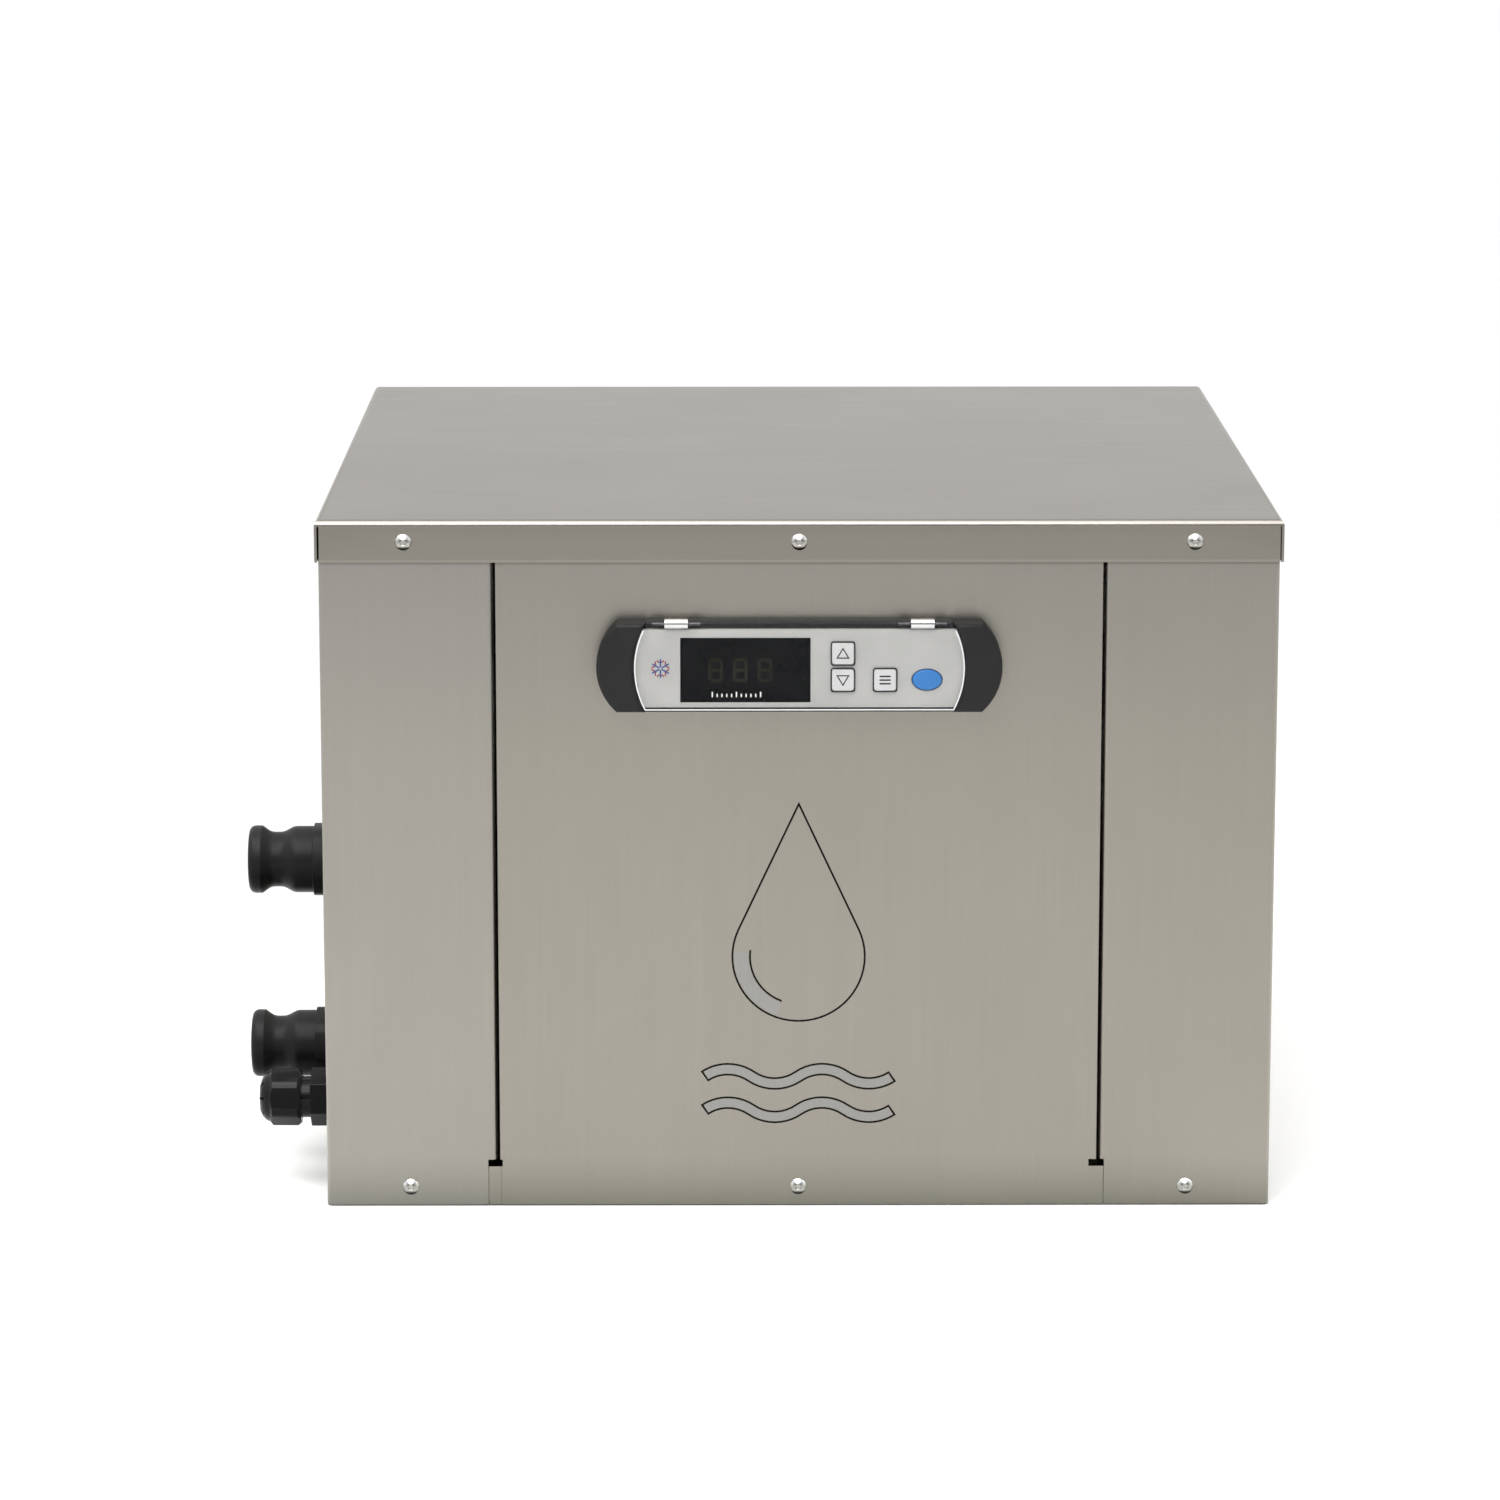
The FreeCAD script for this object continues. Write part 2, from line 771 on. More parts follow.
def wave_solid(level, inset):
    """A band of arcs that bend up and down in turn, made smaller all round by an inset."""
    arcs = []
    count = int(size("wave_arcs"))
    step = "2 * wave_radius * sin(wave_sweep / 2)"
    drop = "wave_radius * cos(wave_sweep / 2)"
    end_trim = size("mark_line") / size("wave_radius") * 180 / math.pi if inset != "0" else 0
    for n in range(count):
        crest = n % 2 == 0
        x = f"({n} - {(count - 1) / 2}) * {step}"
        y = f"{FRONT} + mark_depth"
        z = f"{level} {'-' if crest else '+'} {drop}"
        trim = end_trim if n in (0, count - 1) else 0
        start = (90 if crest else 270) - size("wave_sweep") / 2
        late = trim if n == count - 1 else 0
        turn = AXES["-Y"].multiply(FreeCAD.Rotation(FreeCAD.Vector(0, 0, 1), start + late * crest))
        sweep = f"wave_sweep - {trim}"
        far = f"wave_radius + wave_band / 2 - ({inset})"
        near = f"wave_radius - wave_band / 2 + ({inset})"
        outer, inner = (
            rod(radius, "mark_depth * 2", x, y, z, angle=sweep, turn=turn) for radius in (far, near)
        )
        arcs.append(cut(outer, inner))
    return fuse(*arcs)


def front_panel():
    """The centre panel of the front, with the controller's cut-out and an engraved drop over two waves."""
    edge = "(slot_x - slot_width / 2)"
    middle = box(f"-{edge}", FRONT, "panel_foot", f"2 * {edge}", "sheet", "body_top - panel_foot")
    left_foot = "left_relief_out - seam"
    feet = box(
        f"-({left_foot})",
        FRONT,
        "panel_foot",
        f"{left_foot} + right_relief_out - seam",
        "sheet",
        "relief_floor - panel_foot",
    )
    blank = fuse(middle, feet)
    relief_height = "relief_top - relief_floor"
    deep = f"{FRONT} - sheet"
    left_relief = box(
        "-left_relief_out",
        deep,
        "relief_floor",
        "left_relief_out - left_relief_in",
        "sheet * 3",
        relief_height,
    )
    right_relief = box(
        "right_relief_in",
        deep,
        "relief_floor",
        "right_relief_out - right_relief_in",
        "sheet * 3",
        relief_height,
    )
    step = box(
        "-left_relief_out", deep, "0", "left_relief_out - left_relief_in", "sheet + tab_step", "relief_floor"
    )
    window = box(
        "-cutout_w / 2", deep, "ctl_z - cutout_h / 2", "cutout_w", "sheet * 3", "cutout_h"
    )
    drop = cut(drop_solid("0"), drop_solid("mark_line"))
    shine = cut(drop_solid("shine_inset"), drop_solid("shine_inset + mark_line"))
    glint = box(
        "-drop_radius",
        f"{FRONT} - 1",
        "drop_centre_z - drop_radius",
        "drop_radius * 0.75",
        "2",
        "drop_radius * 1.1",
    )
    waves = []
    for n in range(2):
        level = f"wave_z - {n} * wave_step"
        waves.append(cut(wave_solid(level, "0"), wave_solid(level, "mark_line")))
    holes = [hole("0", FRONT, "lid_screw_z", "Y"), hole("0", FRONT, "base_screw_z", "Y")]
    marks = [drop, common(shine, glint)] + waves
    return name("front_panel", cut(blank, left_relief, right_relief, step, window, *holes, *marks))


def rear_panel():
    """The rear panel, set inside the side panels' returns, with a pressed grille for the fan."""
    half = "body_w / 2 - sheet - rear_inset"
    inner_y = f"{REAR} - sheet * 2 - rear_gap"
    blank = box(
        f"-({half})", inner_y, "tray_lip + tray_gap", f"2 * ({half})", "sheet", "body_top - tray_lip - 1"
    )
    centre_z = "cond_bottom + cond_height / 2"
    slots = []
    for n in range(int(size("grille_rings"))):
        outer = f"grille_first + {n} * grille_step + grille_slot"
        ring_out = rod(outer, "sheet * 3", "cond_x", f"{inner_y} - sheet", centre_z, "Y")
        ring_in = rod(f"{outer} - grille_slot", "sheet * 3", "cond_x", f"{inner_y} - sheet", centre_z, "Y")
        slots.append(cut(ring_out, ring_in))
    rings = fuse(*slots)
    reach = "grille_first + grille_rings * grille_step + grille_slot"
    spokes = []
    bars = int(size("grille_bars"))
    for n in range(bars):
        spoke = box(
            "-grille_spoke / 2", f"-({reach})", "-sheet * 3", "grille_spoke", f"2 * ({reach})", "sheet * 6"
        )
        turned = FreeCAD.Rotation(FreeCAD.Vector(0, 1, 0), 180 / bars * (n + 0.5)).multiply(AXES["Y"])
        holder = doc.addObject("Part::Compound", "spoke")
        holder.Links = [spoke]
        place(holder, "cond_x", inner_y, centre_z, turn=turned)
        spokes.append(holder)
    openings = cut(rings, *spokes)
    holes = screw_holes(("Y",))
    return name("rear_panel", cut(blank, openings, *holes))


def lid():
    """The lid: a flat top with a flange folded down all round, open at its corners by a slit."""
    half_w = "body_w / 2 + sheet + lid_gap"
    half_d = "body_d / 2 + sheet + lid_gap"
    corners = rectangle(f"-({half_w})", half_w, f"-({half_d})", half_d)
    shell = plate(corners, "lid_flange", z="lid_top - lid_flange")
    top = size("lid_flange") - 0.01
    round_edges(shell, "lid_bend", lambda middle, way: middle.z > top and abs(way.z) < 0.01)
    inner_w = f"{half_w} - sheet"
    inner_d = f"{half_d} - sheet"
    hollow = box(
        f"-({inner_w})",
        f"-({inner_d})",
        "lid_top - lid_flange - 1",
        f"2 * ({inner_w})",
        f"2 * ({inner_d})",
        "lid_flange - sheet + 1",
    )
    slits = []
    for x, width in ((f"-({inner_w})", "lid_slit_left"), (f"{inner_w} - lid_slit_right", "lid_slit_right")):
        for y in (f"-({half_d}) - 1", f"{inner_d} - 1"):
            slits.append(
                box(x, y, "lid_top - lid_flange - 1", width, "sheet + 2", "lid_flange - lid_bend + 1")
            )
    holes = screw_holes(("-Y", "Y", "-X", "X"), ("lid",))
    return name("lid", cut(shell, hollow, *slits, *holes))


def button_screw():
    """A button-head screw with a hexagon socket, its head seated at z = 0 and its shank below."""
    profile = [
        ("0", "-screw_length"),
        ("screw_thread / 2 - screw_lead", "-screw_length"),
        ("screw_thread / 2", "-screw_length + screw_lead"),
        ("screw_thread / 2", "0"),
        ("0", "0"),
    ]
    rise = "(screw_head_height - screw_rim)"
    curve = f"((screw_head^2 / 4 + {rise}^2) / (2 * {rise}))"
    ball = doc.addObject("Part::Sphere", "dome")
    bind(ball, Radius=curve)
    place(ball, z=f"screw_head_height - {curve}")
    head = common(ball, rod("screw_head / 2", "screw_head_height"))
    socket = hexagon("screw_hex", "screw_hex_depth + 1", z="screw_head_height - screw_hex_depth")
    return cut(fuse(lathe(profile), head), socket)


def clinch_nut():
    """A hexagon nut fixed behind a screw, from z = 0 downwards."""
    nut = hexagon("nut_width", "nut_height", z="-nut_height")
    return cut(nut, rod("nut_bore / 2", "nut_height + 2", z="-nut_height - 1"))


def screw_placements(kind, stand_off, rear_stand_off):
    """Placements for the screws or nuts of one kind, a distance outside the walls and the rear wall."""
    z = size(f"{kind}_screw_z")
    half_w = size("body_w") / 2 + stand_off
    walls = {
        "-X": lambda n: (-half_w, n * size("side_screw_y")),
        "X": lambda n: (half_w, n * size("side_screw_y")),
        "-Y": lambda n: (n * size("screw_x"), -size("body_d") / 2 - stand_off),
        "Y": lambda n: (n * size("screw_x"), size("body_d") / 2 + rear_stand_off),
    }
    return [at(*walls[axis](n), z, axis) for axis, n in wall_screws(kind)]


def fasteners():
    """The screws of the lid and the base, and the nuts behind them."""
    screw = button_screw()
    nut = clinch_nut()
    over_lid = size("sheet") + size("lid_gap")
    behind_wall = -size("sheet")
    behind_tray = -(size("sheet") * 2 + size("tray_gap"))
    behind_rear = -(size("sheet") * 2 + size("rear_gap"))
    screws = screw_placements("lid", over_lid, over_lid) + screw_placements("base", 0, 0)
    nuts = screw_placements("lid", behind_wall, behind_rear) + screw_placements(
        "base", behind_tray, behind_tray
    )
    name("cabinet_screws", copies(screw, screws))
    name("clinch_nuts", copies(nut, nuts))


# ---------------------------------------------------------------- temperature controller


def between_caps(gap, front, depth, low, high):
    """A slab of the controller that ends at the arcs of its end caps, a gap inside them."""
    half = "ctl_half_height"
    rise = "(cap_mid_x - cap_corner_x)"
    arc = f"(({half}^2 + {rise}^2) / (2 * {rise}))"
    centre = f"(cap_mid_x - {arc})"
    y = f"{FRONT} - ({front})"
    discs = [rod(f"{arc} - ({gap})", depth, f"{sign}{centre}", y, "ctl_z", "Y") for sign in ("-", "")]
    middle = box(
        f"-{centre}", y, "ctl_z - cutter * 2", f"2 * {centre}", depth, "cutter * 4"
    )
    band = box("-ctl_mid_x", y, low, "2 * ctl_mid_x", depth, f"{high} - ({low})")
    return common(fuse(*discs, middle), band)


def soften(thing, radius, chosen):
    """Round the edges of a finished solid that a test picks by their middle."""
    doc.recompute()
    fillet = doc.addObject("Part::Fillet", "softened")
    fillet.Base = thing
    edges = [n for n, edge in enumerate(thing.Shape.Edges, 1) if chosen(edge.CenterOfMass)]
    fillet.Edges = [(n, size(radius), size(radius)) for n in edges]
    return fillet


def end_cap(sign, label):
    """A crescent cap that closes one end of the controller's front."""
    half = "ctl_half_height"
    rise = "(ctl_mid_x - ctl_corner_x)"
    arc = f"(({half}^2 + {rise}^2) / (2 * {rise}))"
    x = f"{sign} * (ctl_mid_x - {arc})"
    y = f"{FRONT} - cap_front"
    disc = rod(arc, "cap_front", x, y, "ctl_z", "Y")
    band = box("-ctl_mid_x - 1", y, f"ctl_z - {half}", "2 * ctl_mid_x + 2", "cap_front", f"2 * {half}")
    start = "-ctl_mid_x - 1" if sign < 0 else "0"
    side = box(start, y, f"ctl_z - {half}", "ctl_mid_x + 1", "cap_front", f"2 * {half}")
    inside = between_caps("0", "cap_front + 1", "cap_front + 2", f"ctl_z - {half} - 1", f"ctl_z + {half} + 1")
    crescent = cut(common(disc, band, side), inside)
    front = -size("body_d") / 2 - size("cap_front")
    return name(label, soften(crescent, "cap_edge_round", lambda middle: abs(middle.y - front) < 0.01))


def rounded_block(x, y, z, width, height, depth, radius):
    """A rounded rectangle about (x, z), padded towards the back from y."""
    corners = rectangle(f"-({width}) / 2", f"({width}) / 2", f"-({height}) / 2", f"({height}) / 2")
    block = plate(corners, depth, x, f"{y} + {depth}", z, "-Y")
    return round_edges(block, radius, lambda middle, way: abs(way.z) > 0.9)


def oval_block(x, y, z, width, height, depth):
    """An ellipse about (x, z), padded towards the back from y."""
    ring = doc.addObject("Part::Ellipse", "oval")
    bind(ring, MajorRadius=f"({width}) / 2", MinorRadius=f"({height}) / 2")
    place(ring, x, f"{y} + {depth}", z, "-Y")
    solid = doc.addObject("Part::Extrusion", "oval_block")
    solid.Base = ring
    solid.DirMode = "Custom"
    solid.Dir = FreeCAD.Vector(0, -1, 0)
    solid.Solid = True
    bind(solid, LengthFwd=depth)
    return solid


KEYS = {
    "up_key": ("arrow_x", "arrow_up_z"),
    "down_key": ("arrow_x", "key_low_z"),
    "set_key": ("set_x", "key_low_z"),
    "power_key": ("power_x", "key_low_z"),
}


def key_shape(label, grow, front, depth):
    """The outline of one key, grown all round, from a front face to a depth."""
    x, z = KEYS[label]
    y = f"{FRONT} - ({front})"
    if label == "power_key":
        return oval_block(x, y, z, f"power_w + 2 * ({grow})", f"power_h + 2 * ({grow})", depth)
    width = f"key_size + 2 * ({grow})"
    return rounded_block(x, y, z, width, width, depth, "key_round")


def controller():
    """The temperature controller: housing, frame, fascia, keys, display, board and its clear hinged cover."""
    low = "ctl_z - ctl_half_height"
    high = "ctl_z + ctl_half_height"
    end_cap(-1, "end_cap_left")
    end_cap(1, "end_cap_right")

    opening = box(
        "-frame_window_x",
        f"{FRONT} - cutter",
        "ctl_z - frame_window_z",
        "2 * frame_window_x",
        "cutter * 1.5",
        "2 * frame_window_z",
    )
    ring = cut(between_caps("0", "frame_depth", "frame_depth", low, high), opening)
    ledge = between_caps(
        "0", "fascia_depth", "fascia_depth - frame_depth", low, "fascia_bottom - fascia_clearance"
    )
    name("controller_frame", fuse(ring, ledge))

    slab = between_caps(
        "fascia_gap", "fascia_depth", "fascia_depth - frame_depth", "fascia_bottom", "fascia_top"
    )
    window_hole = box(
        "window_left",
        f"{FRONT} - cutter",
        "window_bottom",
        "window_right - window_left",
        "cutter",
        "window_top - window_bottom",
    )
    holes = [key_shape(label, "key_gap", "cutter", "cutter") for label in KEYS]
    name("fascia", cut(slab, window_hole, *holes))

    pane = box(
        "window_left + window_gap",
        f"{FRONT} - fascia_depth + face_step",
        "window_bottom + window_gap",
        "window_right - window_left - 2 * window_gap",
        "window_thickness",
        "window_top - window_bottom - 2 * window_gap",
    )
    name("display_window", pane)

    for label in KEYS:
        cap = key_shape(label, "0", "key_front", "key_front - frame_depth + face_step")
        cap = soften(
            cap, "key_edge", lambda middle: middle.y < -size("body_d") / 2 - size("key_front") + 0.01
        )
        flange = key_shape(label, "key_flange", "frame_depth - face_step", "key_flange_depth")
        name(label, fuse(cap, flange))

    board = box(
        "-board_x",
        f"{FRONT} - board_back - board_thickness",
        "ctl_z - board_z",
        "2 * board_x",
        "board_thickness",
        "2 * board_z",
    )
    name("control_board", board)
    board_front = "board_back + board_thickness"
    module = box(
        "digits_left",
        f"{FRONT} - digits_front",
        "digits_bottom",
        "digits_right - digits_left",
        f"digits_front - ({board_front})",
        "digits_top - digits_bottom",
    )
    name("display_module", module)
    switches = []
    for x, z in KEYS.values():
        base = box(
            f"{x} - switch_size / 2",
            f"{FRONT} - ({board_front}) - switch_height",
            f"{z} - switch_size / 2",
            "switch_size",
            "switch_height",
            "switch_size",
        )
        stem = rod(
            "plunger_radius",
            f"plunger_front - ({board_front}) - switch_height",
            x,
            f"{FRONT} - plunger_front",
            z,
            "Y",
        )
        switches.append(fuse(base, stem))
    name("key_switches", group(switches))

    half_w = "(cutout_w / 2 - housing_gap)"
    half_h = "(cutout_h / 2 - housing_gap)"
    tub = box(f"-{half_w}", FRONT, f"ctl_z - {half_h}", f"2 * {half_w}", "housing_depth", f"2 * {half_h}")
    inner = box(
        f"-{half_w} + housing_wall",
        f"{FRONT} - 1",
        f"ctl_z - {half_h} + housing_wall",
        f"2 * ({half_w} - housing_wall)",
        "housing_depth - housing_wall + 1",
        f"2 * ({half_h} - housing_wall)",
    )
    name("controller_housing", cut(tub, inner))
    clips = []
    for x in (f"-{half_w} - clip_w", half_w):
        arm = box(x, f"{FRONT} + sheet", "ctl_z - clip_h / 2", "clip_w", "clip_depth", "clip_h")
        pocket = box(
            f"{x} + clip_wall",
            f"{FRONT} + sheet + clip_wall",
            "ctl_z - clip_h",
            "clip_w - 2 * clip_wall",
            "clip_depth",
            "clip_h * 2",
        )
        clips.append(cut(arm, pocket))
    name("panel_clips", group(clips))
    blocks = []
    back = f"{FRONT} + housing_depth"
    well_y = f"{back} + block_depth - block_well_depth"
    for n in range(2):
        x = f"block_left + {n} * block_pitch"
        block = box(x, back, "ctl_z - block_height / 2", "block_length", "block_depth", "block_height")
        wells = [
            rod(
                "block_well",
                "block_well_depth + 1",
                f"{x} + ({m} + 0.5) * block_length / 5",
                well_y,
                "ctl_z",
                "Y",
            )
            for m in range(5)
        ]
        blocks.append(cut(block, *wells))
    name("terminal_blocks", group(blocks))

    axis_y = f"{FRONT} - hinge_depth"
    front_y = "cover_back + cover_thickness"
    top = "hinge_z + rail_block / 2"
    plate_part = between_caps("cover_gap", front_y, "cover_thickness", "cover_bottom", top)
    rail = rod("rail_radius", "2 * rail_half", "-rail_half", axis_y, "hinge_z", "X")
    web = box(
        "-rail_half",
        f"{FRONT} - cover_back",
        "hinge_z - rail_block / 2",
        "2 * rail_half",
        "cover_back - hinge_depth",
        "rail_block",
    )
    tab = box(
        "cover_tab_x - cover_tab_w / 2",
        f"{FRONT} - ({front_y}) - cover_tab_d",
        "cover_bottom",
        "cover_tab_w",
        "cover_tab_d",
        "cover_tab_h",
    )
    notches = []
    for sign in ("-", ""):
        x = f"{sign}barrel_x - barrel_length / 2 - barrel_gap"
        notches.append(
            box(
                x,
                f"{FRONT} - cutter",
                "hinge_z - barrel_radius - 0.5",
                "barrel_length + 2 * barrel_gap",
                "cutter",
                "10",
            )
        )
        bore_x = f"{sign}barrel_x - hinge_pin_length / 2 - 0.5"
        notches.append(rod("hinge_bore", "hinge_pin_length + 1", bore_x, axis_y, "hinge_z", "X"))
    for x in ("-ctl_mid_x", "rail_half"):
        notches.append(box(x, f"{FRONT} - cutter", "hinge_z - 6", "ctl_mid_x - rail_half", "cutter", "10"))
    name("controller_cover", cut(fuse(plate_part, rail, web, tab), *notches))

    barrels = []
    pins = []
    for sign in ("-", ""):
        x = f"{sign}barrel_x - barrel_length / 2"
        barrel = rod("barrel_radius", "barrel_length", x, axis_y, "hinge_z", "X")
        foot = box(
            x,
            axis_y,
            "hinge_z - barrel_foot_z",
            "barrel_length",
            "hinge_depth - frame_depth",
            "barrel_foot_z + 0.3",
        )
        bore = rod("hinge_pin", "barrel_length + 2", f"{x} - 1", axis_y, "hinge_z", "X")
        barrels.append(cut(fuse(barrel, foot), bore))
        pins.append(
            rod(
                "hinge_pin",
                "hinge_pin_length",
                f"{sign}barrel_x - hinge_pin_length / 2",
                axis_y,
                "hinge_z",
                "X",
            )
        )
    name("hinge_barrels", group(barrels))
    name("hinge_pins", group(pins))


# ---------------------------------------------------------------- hose adapters and cable gland


def adapter(z, label, collar_turn):
    """A grooved adapter for a cam lever coupler, with a threaded shank and a hose tail inside the cabinet."""
    x, y = LEFT, "adapter_y"
    profile = [
        ("adapter_bore", "-adapter_tail"),
        ("adapter_barb - 1", "-adapter_tail"),
        ("adapter_barb", "-adapter_tail + adapter_lead"),
        ("adapter_barb", "-adapter_thread_in"),
        ("adapter_thread", "-adapter_thread_in"),
        ("adapter_thread", "gasket_thickness"),
        ("adapter_neck", "gasket_thickness"),
        ("adapter_neck", "shoulder_start"),
        ("groove_radius", "groove_panel_side"),
        ("groove_radius", "groove_tip_side"),
        ("adapter_radius", "adapter_reach - rim_length"),
        ("adapter_radius", "adapter_reach - rim_round"),
        ("adapter_radius - 0.076 * rim_round", "adapter_reach - 0.617 * rim_round"),
        ("adapter_radius - 0.293 * rim_round", "adapter_reach - 0.293 * rim_round"),
        ("adapter_radius - 0.617 * rim_round", "adapter_reach - 0.076 * rim_round"),
        ("adapter_radius - rim_round", "adapter_reach"),
        ("adapter_bore + 1", "adapter_reach"),
        ("adapter_bore", "adapter_reach - 1"),
    ]
    body = lathe(profile, x, y, z, "-X")
    soft = [size(word) for word in ("shoulder_start", "groove_panel_side", "groove_tip_side")]
    round_edges(body, "groove_round", lambda middle, way: any(abs(middle.z - level) < 0.01 for level in soft))
    disc = rod("collar_radius", "collar_start - gasket_thickness", f"{x} - collar_start", y, z, "X")
    turn = AXES["X"].multiply(FreeCAD.Rotation(FreeCAD.Vector(0, 0, 1), -size(collar_turn)))
    flats = hexagon("collar_flats", "collar_start - gasket_thickness", f"{x} - collar_start", y, z, turn=turn)
    bore = rod("adapter_bore", "collar_start + 2", f"{x} - collar_start - 1", y, z, "X")
    collar = cut(common(disc, flats), bore)
    return name(label, fuse(body, collar))


def gland_piece(profile):
    """A turned piece of the cable gland, about the gland's own axis."""
    return lathe(profile, LEFT, "gland_y", "gland_z", "-X")


def gland_hexagon(flats, start, length):
    """A hexagon of the cable gland, turned a little about the axis as it was tightened."""
    turn = AXES["-X"].multiply(FreeCAD.Rotation(FreeCAD.Vector(0, 0, 1), size("gland_turn")))
    return hexagon(flats, length, f"{LEFT} - ({start})", "gland_y", "gland_z", turn=turn)


def fittings():
    """The two hose adapters and the cable gland on the left panel, with their gaskets and nuts."""
    heights = {"upper": "upper_adapter_z", "lower": "lower_adapter_z"}
    for label, z in heights.items():
        adapter(z, f"{label}_adapter", f"{label}_collar_turn")
    gaskets = []
    nuts = []
    for z in heights.values():
        ring = rod("gasket_radius", "gasket_thickness", LEFT, "adapter_y", z, "-X")
        middle = rod("adapter_thread", "cutter", f"{LEFT} + cutter / 2", "adapter_y", z, "-X")
        gaskets.append(cut(ring, middle))
        start = f"{LEFT} + sheet"
        nut = hexagon("adapter_nut_width", "adapter_nut_height", start, "adapter_y", z, "X")
        bore = rod("adapter_thread", "adapter_nut_height + 2", f"{start} - 1", "adapter_y", z, "X")
        nuts.append(cut(nut, bore))
    name("adapter_gaskets", group(gaskets))
    name("adapter_nuts", group(nuts))

    core = [
        ("gland_core_bore", "-gland_thread_in"),
        ("gland_thread", "-gland_thread_in"),
        ("gland_thread", "0"),
        ("gland_neck + 1", "0"),
        ("gland_neck + 1", "gland_collar"),
        ("gland_neck", "gland_collar"),
        ("gland_neck", "gland_core_front"),
        ("gland_core_bore", "gland_core_front"),
    ]
    collar = gland_hexagon("gland_flats", "0", "gland_collar")
    bore = rod("gland_core_bore", "gland_collar + 2", f"{LEFT} + 1", "gland_y", "gland_z", "-X")
    name("gland_body", fuse(gland_piece(core), cut(collar, bore)))

    dome = [
        ("gland_nut_bore", "gland_nut_back"),
        ("gland_flats / 2 + 0.2", "gland_nut_back"),
        ("gland_corner", "gland_nut_back + gland_back_chamfer"),
        ("gland_corner", "gland_nut_front - gland_front_chamfer"),
        ("gland_flats / 2", "gland_nut_front"),
        ("gland_flats / 2 - 1", "gland_nut_front + 2"),
        ("gland_flats / 2 - 2.6", "gland_nut_front + 3.7"),
        ("gland_flats / 2 - 4.4", "gland_reach - 0.3"),
        ("gland_mouth", "gland_reach"),
        ("gland_mouth_bore", "gland_reach"),
        ("gland_mouth_bore", "gland_seal_front + 0.2"),
        ("gland_nut_bore", "gland_seal_front + 0.2"),
    ]
    grip = gland_hexagon("gland_flats + 1", "gland_nut_back", "gland_reach - gland_nut_back")
    slots = []
    count = int(size("gland_slots"))
    base = "gland_nut_front + gland_slot_start"
    for n in range(count):
        slot = box("-gland_slot / 2", "gland_mouth", base, "gland_slot", "gland_flats", "gland_reach")
        angle = 360 / count * n + size("gland_turn")
        turned = AXES["-X"].multiply(FreeCAD.Rotation(FreeCAD.Vector(0, 0, 1), angle))
        holder = doc.addObject("Part::Compound", "slot")
        holder.Links = [slot]
        slots.append(place(holder, LEFT, "gland_y", "gland_z", turn=turned))
    name("gland_nut", cut(common(gland_piece(dome), grip), *slots))

    seal = rod(
        "gland_seal_radius",
        "gland_seal_front - gland_seal_back",
        f"{LEFT} - gland_seal_back",
        "gland_y",
        "gland_z",
        "-X",
    )
    mouth = rod("gland_seal_bore", "cutter * 3", f"{LEFT} + 1", "gland_y", "gland_z", "-X")
    name("gland_seal", cut(seal, mouth))
    start = f"{LEFT} + sheet"
    nut = hexagon("gland_locknut_width", "gland_locknut_height", start, "gland_y", "gland_z", "X")
    bore = rod("gland_thread", "gland_locknut_height + 2", f"{start} - 1", "gland_y", "gland_z", "X")
    name("gland_locknut", cut(nut, bore))


# ---------------------------------------------------------------- water circuit


def hose(z):
    """A rubber elbow hose from an adapter's tail to a nozzle of the evaporator shell."""
    y = size("adapter_y")
    x_start = -size("body_w") / 2 + size("adapter_tail") - size("hose_cover")
    route = [(x_start, y, z), (size("shell_x"), y, z), (size("shell_x"), size("hose_end_y"), z)]
    outside = pipe("hose_outer", route, size("hose_bend"))
    inside = pipe("hose_inner", route, size("hose_bend"))
    return cut(outside, inside)


